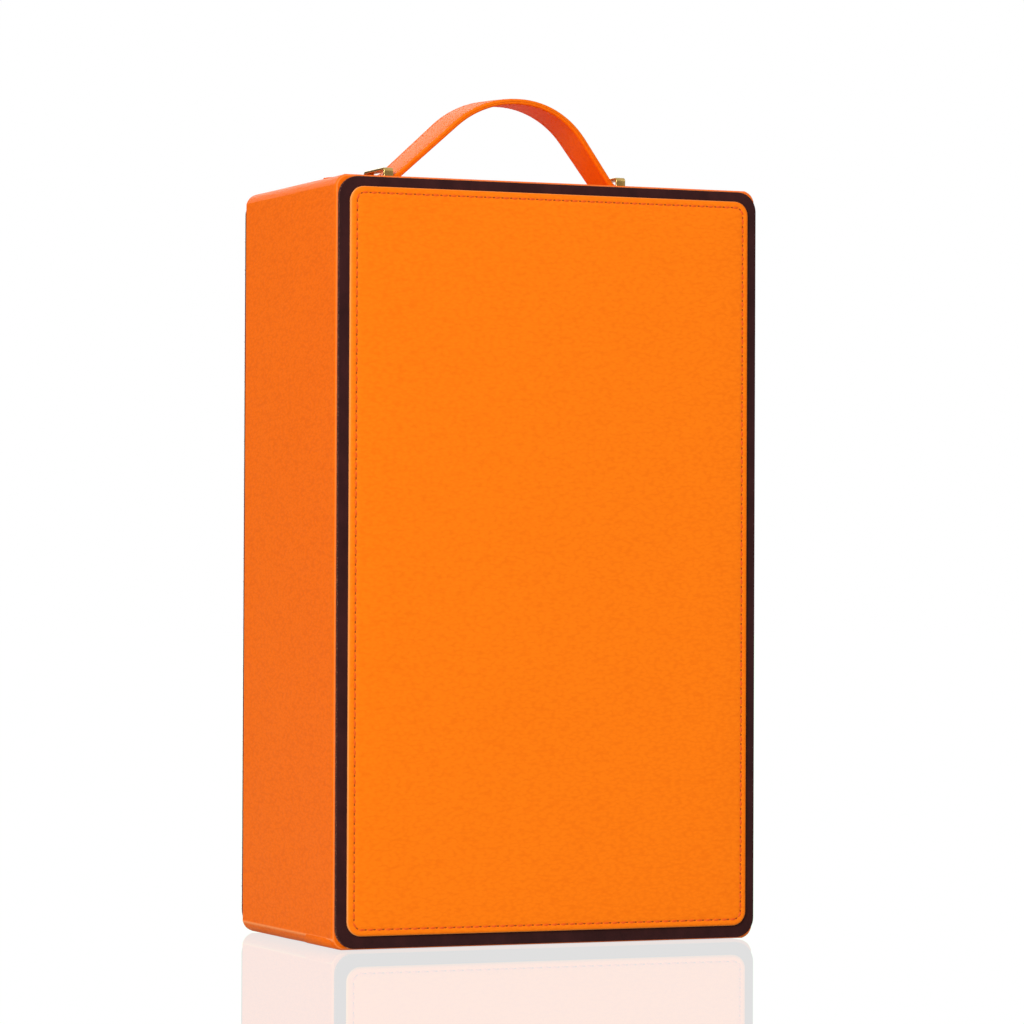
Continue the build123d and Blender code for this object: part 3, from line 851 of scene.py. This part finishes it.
# For each sewn face: its node, body and slot, its cover, its thread, the painted shade of its
# needle holes, the way that it faces along Y, and the radii of its corners and its edge
PANEL_LOOKS = ("panel_leather", PANEL_LEATHER, THREAD, NEEDLE_HOLE_SHADE)
LINING_LOOKS = ("lining_suede", LINING_SUEDE, LINING_THREAD, LINING_SUEDE)
SEWN_FACES = (
    ("door_panel", "door", *PANEL_LOOKS, -1, PANEL_CORNER, PANEL_EDGE),
    ("back_panel", "case", *PANEL_LOOKS, 1, PANEL_CORNER, PANEL_EDGE),
    ("door_lining", "door", *LINING_LOOKS, 1, LINING_CORNER, LINING_EDGE),
)
for node, body, slot_name, cover, thread, hole_shade, way, corner, edge in SEWN_FACES:
    sewn_face = sewn_face_shape(node, way, corner, edge)
    # The panel's share of painted highlight along its edge.
    wear_and_highlight = panel_highlights(box_mm(node)[0 if way < 0 else 1].y)
    finish(node + "_cover", sewn_face, body, slot_name, cover, [node], highlight_at=wear_and_highlight)
    stitches = repeated(stitch(), face_seam(node, way, corner, 0.5, 7.0, -0.02))
    finish(node + "_stitches", stitches, body, slot_name, thread)
    # Dark discs of painted shade in the needle holes along the seam.
    hole_shades = repeated(needle_hole_shade(), face_seam(node, way, corner, 0.92, 0.0, -0.1))
    finish(node + "_needle_marks", hole_shades, body, slot_name, hole_shade)


# Inside of the case
def ripple_inwards(bm, fullness):
    """Draws a cover in a little here and there, so that it isn't quite flat."""
    bm.normal_update()
    for v in bm.verts:
        v.co -= v.normal * fullness * (0.5 + 0.5 * noise.noise(v.co * 0.05))


def lining_shape(node):
    """A suede-covered board with soft edges."""
    edge, step = 0.6, 14.0
    low, high = box_mm(node)
    bm = block(low, high)
    round_edges(bm, bm.edges[:], edge, 3)
    for axis in range(3):
        if high[axis] - low[axis] > 4 * step:
            slice_across(bm, axis, spread(low[axis] + 2 * edge, high[axis] - 2 * edge, step))
    ripple_inwards(bm, 0.12)
    return bm


def divider_shape():
    """The suede-covered board between the bottles, with a round nose towards the door."""
    low, high = box_mm("bay_divider")
    bm = block(low, high)
    nose = [e for e in edges_along(bm, 2) if e.verts[0].co.y < 0]
    round_edges(bm, nose, 2.4, 6)
    slice_across(bm, 1, spread(low.y + 4, high.y, 14.0))
    slice_across(bm, 2, spread(low.z, high.z, 14.0))
    ripple_inwards(bm, 0.12)
    return bm


def neck_rest_shape(node, axis_x):
    """A suede-covered shelf with a notch for a bottle's neck."""
    low, high = box_mm(node)
    left, right = axis_x - NECK_RADIUS, axis_x + NECK_RADIUS
    front, back = low.y - 1, NECK_AXIS + NECK_RADIUS
    route = [(left, front), (left, back), (right, back), (right, front)]
    notch = standing(rounded_line(route, [NECK_RADIUS - 0.2] * 2, 10.0), low.z - 1, high.z + 1)
    rest = loose_object("rest", carved(block(low, high), notch))
    softened = rest.modifiers.new("softened", "BEVEL")
    softened.width = 1.2
    softened.segments = 3
    softened.limit_method = "ANGLE"
    return with_modifiers(rest)


def puffed(bm, reach):
    """A pad filled by a cloth simulation, with no point moved further than its reach."""
    bmesh.ops.scale(bm, vec=(MM, MM, MM), verts=bm.verts)
    rough = loose_object("pad", bm)
    grid = rough.modifiers.new("grid", "REMESH")
    grid.mode = "VOXEL"
    grid.voxel_size = PAD_VOXEL * MM
    pad = loose_object("pad", with_modifiers(rough))
    start = [v.co.copy() for v in pad.data.vertices]
    last_frame = 20
    filling = pad.modifiers.new("filling", "CLOTH")
    filling.settings.use_pressure = True
    filling.settings.uniform_pressure_force = 4.0
    filling.settings.effector_weights.gravity = 0.0
    filling.point_cache.frame_start = 1
    filling.point_cache.frame_end = last_frame
    for number in range(1, last_frame + 1):
        bpy.context.scene.frame_set(number)
    bm = with_modifiers(pad)
    bpy.context.scene.frame_set(1)
    for v, before in zip(bm.verts, start):
        move = v.co - before
        if move.length > reach * MM:
            v.co = before + move.normalized() * reach * MM
    bmesh.ops.smooth_vert(
        bm, verts=bm.verts, factor=0.5, use_axis_x=True, use_axis_y=True, use_axis_z=True
    )
    bmesh.ops.scale(bm, vec=(1 / MM, 1 / MM, 1 / MM), verts=bm.verts)
    return bm


def keep_within(bm, low, high):
    """Holds every point of a pad inside its own space."""
    for v in bm.verts:
        for axis in range(3):
            v.co[axis] = min(high[axis], max(low[axis], v.co[axis]))


BED_CHANNELS = (50.0, 100.0, 150.0)


def bed_shape(node, axis_x):
    """A padded bed with a trough for a bottle, and sewn channels across the trough."""
    low, high = box_mm(node)
    length = high.z - low.z + 2
    start = (axis_x, BOTTLE_AXIS, low.z - 1)
    trough = bar(start, (0, 0, 1), BOTTLE_RADIUS + PAD_SLACK, length, 96)
    bm = carved(block(low, (high.x, high.y, high.z - PAD_SLACK)), trough)
    bm = puffed(bm, 2.4)
    keep_within(bm, low, high)
    channel_depth, channel_width = 1.9, 2.6
    for v in bm.verts:
        arm = Vector((v.co.x - axis_x, v.co.y - BOTTLE_AXIS))
        if arm.length < BOTTLE_RADIUS + 5:
            nearest = min(abs(v.co.z - low.z - height) for height in BED_CHANNELS)
            channel = channel_depth * math.exp(-((nearest / channel_width) ** 2))
            sunk = BOTTLE_RADIUS + 0.1 + channel
            arm *= max(arm.length, sunk) / arm.length
            v.co.x, v.co.y = axis_x + arm.x, BOTTLE_AXIS + arm.y
    keep_within(bm, low, high)
    return bm


def neck_pad_shape(node):
    """A foam block under suede, with crowned faces, soft edges and a seam down its middle."""
    low, high = box_mm(node)
    slack = Vector((PAD_SLACK, 0, PAD_SLACK))
    bm = block(low + slack, high - slack - Vector((0, PAD_SLACK, 0)))
    round_edges(bm, edges_along(bm, 1), 6.5, 4)
    bm = puffed(bm, 2.6)
    middle = middle_of(node)
    seam_depth, seam_width = 1.8, 2.4
    for v in bm.verts:
        if v.co.y > middle.y:
            seam = seam_depth * math.exp(-((abs(v.co.x - middle.x) / seam_width) ** 2))
            v.co.y -= seam * (v.co.y - middle.y) / (high.y - middle.y)
    keep_within(bm, low, high)
    return bm


def in_suede(node, shape, body, crease=40.0):
    """A piece covered in the lining's suede, in place of its CAD node."""
    return finish(node + "_suede", shape, body, "lining_suede", LINING_SUEDE, [node], crease)


for side_name in ("left", "right", "top", "bottom", "back"):
    in_suede(side_name + "_lining", lining_shape(side_name + "_lining"), "case")
in_suede("bay_divider", divider_shape(), "case")
for side_name, axis_x in (("left", -BAY_AXIS), ("right", BAY_AXIS)):
    rest_node = side_name + "_neck_rest"
    in_suede(rest_node, neck_rest_shape(rest_node, axis_x), "case", 25.0)
    padding = (
        (side_name + "_bottle_bed", "case", bed_shape(side_name + "_bottle_bed", axis_x)),
        (side_name + "_neck_pad", "door", neck_pad_shape(side_name + "_neck_pad")),
    )
    for pad_node, pad_body, pad_shape in padding:
        pad = in_suede(pad_node, pad_shape, pad_body, 60.0)
        smoother = pad.modifiers.new("smoother", "SUBSURF")
        smoother.levels = 1
        smoother.render_levels = 1


# Carry handle
STRAP_ROUTE = [
    (-90.0, 372.0), (-61.1, 373.3), (-16.0, 414.2), (26.0, 414.2), (58.3, 372.0), (86.3, 371.5),
]
STRAP_BENDS = [13.0, 48.2, 45.0, 12.5]
STRAP_HALF = 11.4
STRAP_MIDDLE_HALF = 15.4
STRAP_LEAN = 3.2
STRAP_LIFT = 0.73         # that keeps the leaning strap's near edge off the case
TAIL_HALF = 13.5
TAIL_LENGTH = 21.5
TAIL_CORNER = 5.0
STRAP_STITCH_INSET = 2.6

strap_middle = rounded_line(STRAP_ROUTE, STRAP_BENDS)
strap_lengths = lengths_along(strap_middle)
strap_total = strap_lengths[-1]


def belly_half(x):
    """Half the strap's width between its shoulders, which bellies out to the middle."""
    left, right = STRAP_ROUTE[0][0] + TAIL_LENGTH, STRAP_ROUTE[-1][0] - TAIL_LENGTH
    span, rise = (right - left) / 2, STRAP_MIDDLE_HALF - STRAP_HALF
    radius = (span ** 2 + rise ** 2) / (2 * rise)
    off_middle = min(span, abs(x - (left + right) / 2))
    return STRAP_MIDDLE_HALF - radius + math.sqrt(radius ** 2 - off_middle ** 2)


def strap_half(distance, inset=0.0):
    """Half the strap's width at some distance along it, inside a margin."""
    from_end = min(distance, strap_total - distance)
    band = belly_half(place_on(strap_middle, strap_lengths, distance)[0].x) - inset
    to_corner = min(from_end - inset, TAIL_LENGTH - inset - from_end)
    if to_corner < 0:
        return band
    corner = TAIL_CORNER - inset
    curve = math.sqrt(max(0.0, corner ** 2 - max(0.0, corner - to_corner) ** 2))
    tail = TAIL_HALF - TAIL_CORNER + curve
    return max(band, tail) if from_end > TAIL_LENGTH / 2 else tail


def strap_frames(distances):
    """Frames across the strap, whose Y runs over its width and Z through its thickness."""
    frames = []
    for distance in distances:
        middle, direction = place_on(strap_middle, strap_lengths, distance)
        along = Vector((direction.x, 0, direction.y))
        across = Vector((0, 1, 0))
        up = along.cross(across)
        turn = Matrix((along, across, up)).transposed().to_4x4()
        width = Matrix.Diagonal((1, strap_half(distance) / STRAP_HALF, 1, 1))
        frames.append(Matrix.Translation((middle.x, 0, middle.y)) @ turn @ width)
    return frames


def leaned(bm):
    """Leans a piece of the strap towards the door, and sets it down on the case's top."""
    top = box_mm("body_wrap")[1].z
    lean = Matrix.Rotation(math.radians(STRAP_LEAN), 4, "X")
    place = Matrix.Translation((0, 0, top + STRAP_LIFT)) @ lean @ Matrix.Translation((0, 0, -top))
    bmesh.ops.transform(bm, matrix=place, verts=bm.verts)
    return bm


end_steps = [0.0, 0.3, 1.0, 2.0, 3.4, 5.0, 10.7, 16.5, 18.1, 19.5, 20.6, 21.5]
strap_places = sorted(
    set(
        end_steps
        + [strap_total - d for d in end_steps]
        + [d for d in strap_lengths if TAIL_LENGTH < d < strap_total - TAIL_LENGTH]
    )
)
# Half of each leather's section, from the middle of the strap to its edge and back
STRAP_SKIN_HALF = [
    (3.5, 1.5), (6.8, 1.46), (8.0, 1.36), (8.8, 1.24), (9.6, 1.36),
    (10.4, 1.42), (10.9, 1.32), (11.25, 1.02), (11.4, 0.6), (11.36, 0.05), (8.4, 0.03), (8.4, 0.6),
]
STRAP_LINING_HALF = [
    (8.4, -0.6), (8.4, -0.03), (11.36, -0.05), (11.4, -0.6), (11.25, -1.02),
    (10.9, -1.32), (10.4, -1.42), (8.8, -1.3), (6.8, -1.46), (3.5, -1.5),
]
STRAP_CORE_HALF = [(8.3, 0.57), (8.3, 0.0), (8.3, -0.57)]
IN_LEATHER = ("strap_leather", STRAP_LEATHER)
for strap_name, strap_node, half_section, strap_slot, strap_material in (
    ("handle_strap_leather", "handle_outer", STRAP_SKIN_HALF, *IN_LEATHER),
    ("handle_underside_leather", "handle_lining", STRAP_LINING_HALF, *IN_LEATHER),
    ("handle_stiffening_strip", "handle_core", STRAP_CORE_HALF, "stiffener", STIFFENER),
):
    section = half_section + [(-u, v) for u, v in reversed(half_section)]
    strap = leaned(drawn_along(section, strap_frames(strap_places)))
    finish(strap_name, strap, "handle", strap_slot, strap_material, [strap_node])


def strap_seam():
    """The closed seam near the strap's edge, as distance along it and offset across it."""
    inset = STRAP_STITCH_INSET
    ends = [inset + step for step in (0.0, 0.2, 0.7, 1.5, 2.4)]
    from_tail = TAIL_LENGTH - 5.5
    steps = ends + [d for d in strap_places if from_tail < d < strap_total - from_tail]
    steps += [strap_total - d for d in reversed(ends)]
    side = [Vector((d, strap_half(d, inset))) for d in steps]
    return side + [Vector((d, -u)) for d, u in reversed(side)] + [side[0]]


def strap_seam_frames(shift, slant, lift, side):
    """Frames along the strap's seam, on its outer face (1) or its underside (-1)."""
    line = strap_seam()
    lengths = lengths_along(line)
    count = round(lengths[-1] / STITCH_PITCH)
    frames = []
    for i in range(count):
        place, heading = place_on(line, lengths, lengths[-1] * (i + shift) / count % lengths[-1])
        middle, direction = place_on(strap_middle, strap_lengths, place.x)
        along = Vector((direction.x, 0, direction.y))
        across = Vector((0, 1, 0))
        out = along.cross(across) * side
        forward = along * heading.x + across * heading.y
        turn = Matrix((forward, out.cross(forward), out)).transposed().to_4x4()
        centre = Matrix.Translation(Vector((middle.x, place.y, middle.y)) + out * lift)
        frames.append(centre @ turn @ Matrix.Rotation(math.radians(slant), 4, "Z"))
    return frames


for face_name, face_side in (("outer", 1), ("under", -1)):
    stitches = leaned(repeated(stitch(), strap_seam_frames(0.5, 6.0, 1.24, face_side)))
    finish("handle_stitches_" + face_name, stitches, "handle", "strap_leather", THREAD)
    # Dark discs of painted shade in the strap's needle holes.
    hole_shades = leaned(repeated(needle_hole_shade(), strap_seam_frames(0.92, 0.0, 1.3, face_side)))
    finish("handle_needle_marks_" + face_name, hole_shades, "handle", "strap_leather", NEEDLE_HOLE_SHADE)


def loop_shape(x):
    """A flat brass strip bent over the strap, with its prongs turned in under the top board."""
    tip, under, over = 8.25, 360.65, 378.35
    half_route = [(tip, under), (PRONG_PLACE, under), (PRONG_PLACE, over)]
    route = [(-y, z) for y, z in half_route] + half_route[::-1]
    bend = 1.25
    line = rounded_line(route, [bend] * 4, 15.0)
    strip = (LOOP_HALF, LOOP_HALF_THICK)
    outline = rounded_outline((-strip[0], -strip[1]), strip, 0.32)[:-1]
    frames = []
    for i, point in enumerate(line):
        before, after = line[max(0, i - 1)], line[min(len(line) - 1, i + 1)]
        heading = (after - before).normalized()
        along = Vector((0, heading.x, heading.y))
        across = Vector((1, 0, 0))
        turn = Matrix((along, across, along.cross(across))).transposed().to_4x4()
        frames.append(Matrix.Translation((x, point.x, point.y)) @ turn)
    return drawn_along([(p.x, p.y) for p in outline], frames)


for loop_name, loop_x in zip(("left_loop", "right_loop"), LOOP_PLACES):
    finish(loop_name + "_brass", loop_shape(loop_x), "case", "brass", BRASS, [loop_name])


# Hinges
def screw_shape():
    """A countersunk screw along Z, with a cross cut in its head."""
    bm = bmesh.new()
    profile = [
        (0, 0), (1.1, 0.0), (SCREW_HEAD - 0.08, 0.02), (SCREW_HEAD, 0.12), (SCREW_SHANK, 1.0),
        (SCREW_SHANK, SCREW_LENGTH - 0.6), (0.3, SCREW_LENGTH), (0, SCREW_LENGTH),
    ]
    verts = [bm.verts.new((r, 0, z)) for r, z in profile]
    line = [bm.edges.new(pair) for pair in zip(verts, verts[1:])]
    bmesh.ops.spin(
        bm,
        geom=verts + line,
        cent=(0, 0, 0),
        axis=(0, 0, 1),
        angle=2 * math.pi,
        steps=24,
        use_merge=True,
    )
    bmesh.ops.remove_doubles(bm, verts=bm.verts, dist=0.001)
    bmesh.ops.recalc_face_normals(bm, faces=bm.faces)
    for half in ((1.05, 0.2), (0.2, 1.05)):
        bm = carved(bm, block((-half[0], -half[1], -0.5), (half[0], half[1], 0.55)))
    return bm


def screw_frames():
    """Frames for the hinges' screws in the case, with Z into the board."""
    low = box_mm("hinge_screws")[0]
    x = middle_of("hinge_screws").x
    into_board = Matrix.Rotation(-math.pi / 2, 4, "X")
    places = [(x, low.y, z + side * SCREW_REACH) for z in HINGE_HEIGHTS for side in (-1, 1)]
    turns = [Matrix.Rotation(math.radians(angle), 4, "Z") for angle in (12, 71, 38, 55)]
    return [Matrix.Translation(place) @ into_board @ turn for place, turn in zip(places, turns)]


screws = repeated(screw_shape(), screw_frames())
finish("hinge_screws_steel", screws, "case", "steel", STEEL, ["hinge_screws"])


# Camera, light and floor
CAMERA_PLACE = Vector((-857.1, -2014.9, 174.8))
CAMERA_YAW, CAMERA_PITCH, CAMERA_ROLL = (math.radians(a) for a in (23.237, 0.941, 0.245))
camera_data = bpy.data.cameras.new("camera")
camera_data.lens = 154.441
camera_data.sensor_width = 36.0
camera_data.clip_end = 50.0
camera = bpy.data.objects.new("camera", camera_data)
bpy.context.scene.collection.objects.link(camera)
forward = Vector(
    (
        math.sin(CAMERA_YAW) * math.cos(CAMERA_PITCH),
        math.cos(CAMERA_YAW) * math.cos(CAMERA_PITCH),
        math.sin(CAMERA_PITCH),
    )
)
level_right = Vector((math.cos(CAMERA_YAW), -math.sin(CAMERA_YAW), 0))
level_up = level_right.cross(forward)
right = level_right * math.cos(CAMERA_ROLL) + level_up * math.sin(CAMERA_ROLL)
up = level_up * math.cos(CAMERA_ROLL) - level_right * math.sin(CAMERA_ROLL)
turned = Matrix((right, up, -forward)).transposed().to_4x4()
camera.matrix_world = Matrix.Translation(CAMERA_PLACE * MM) @ turned
bpy.context.scene.camera = camera


def soft_light(name, place, aim, size, power):
    """A square softbox, placed and aimed in metres."""
    data = bpy.data.lights.new(name, "AREA")
    data.shape = "SQUARE"
    data.size = size
    data.energy = power
    lamp = bpy.data.objects.new(name, data)
    bpy.context.scene.collection.objects.link(lamp)
    lamp.location = place
    lamp.rotation_mode = "QUATERNION"
    lamp.rotation_quaternion = (Vector(aim) - Vector(place)).to_track_quat("-Z", "Y")


soft_light("key_softbox", (-2.5, -2.5, 1.7), (0, 0, 0.2), 1.6, 124.0)
soft_light("fill_softbox", (2.4, -2.0, 1.4), (0, 0, 0.2), 1.6, 9.0)
soft_light("back_softbox", (0.2, 2.3, 1.5), (0, 0, 0.35), 1.2, 14.0)


def studio_world():
    """A white tent, bright above and dim at eye level. The camera and the floor see only white."""
    world = bpy.data.worlds.new("studio_tent")
    bpy.context.scene.world = world
    world.use_nodes = True
    tree = world.node_tree
    tree.nodes.clear()
    direction = add(tree, "ShaderNodeTexCoord").outputs["Generated"]
    height = add(tree, "ShaderNodeSeparateXYZ", {}, {"Vector": direction}).outputs["Z"]
    tent = ranged(tree, height, 0.08, 0.55, 0.08, 0.68)
    path = add(tree, "ShaderNodeLightPath")
    seen = add(
        tree,
        "ShaderNodeMath",
        {"operation": "MAXIMUM"},
        {0: path.outputs["Is Camera Ray"], 1: path.outputs["Is Singular Ray"]},
    )
    glow = add(
        tree,
        "ShaderNodeMix",
        {"data_type": "FLOAT"},
        {0: seen.outputs["Value"], 2: tent, 3: 1.0},
    )
    sky = add(
        tree,
        "ShaderNodeBackground",
        {},
        {"Color": (1.0, 1.0, 1.0, 1.0), "Strength": glow.outputs[0]},
    )
    add(tree, "ShaderNodeOutputWorld", {}, {"Surface": sky.outputs["Background"]})


def floor_paint():
    """White acrylic sheet lit from below, with a faint sharp reflection of what stands on it."""
    material, tree = blank_material("floor_white_acrylic")
    path = add(tree, "ShaderNodeLightPath")
    cast_glow, seen_glow = 0.4, 0.74
    glow = ranged(tree, path.outputs["Is Camera Ray"], 0.0, 1.0, cast_glow, seen_glow)
    lit = add(tree, "ShaderNodeEmission", {}, {"Color": (1, 1, 1, 1), "Strength": glow})
    mirror = {"Color": (0.26, 0.36, 0.26, 1), "Roughness": 0.0}
    gloss = add(tree, "ShaderNodeBsdfGlossy", {}, mirror)
    both = add(tree, "ShaderNodeAddShader", {}, {0: lit.outputs[0], 1: gloss.outputs[0]})
    add(tree, "ShaderNodeOutputMaterial", {}, {"Surface": both.outputs[0]})
    return material


studio_world()
floor_mesh = bmesh.new()
bmesh.ops.create_grid(floor_mesh, x_segments=1, y_segments=1, size=12.0)
studio_floor = loose_object("studio_floor", floor_mesh)
studio_floor.data.materials.append(floor_paint())

bpy.context.scene.view_settings.view_transform = "Standard"
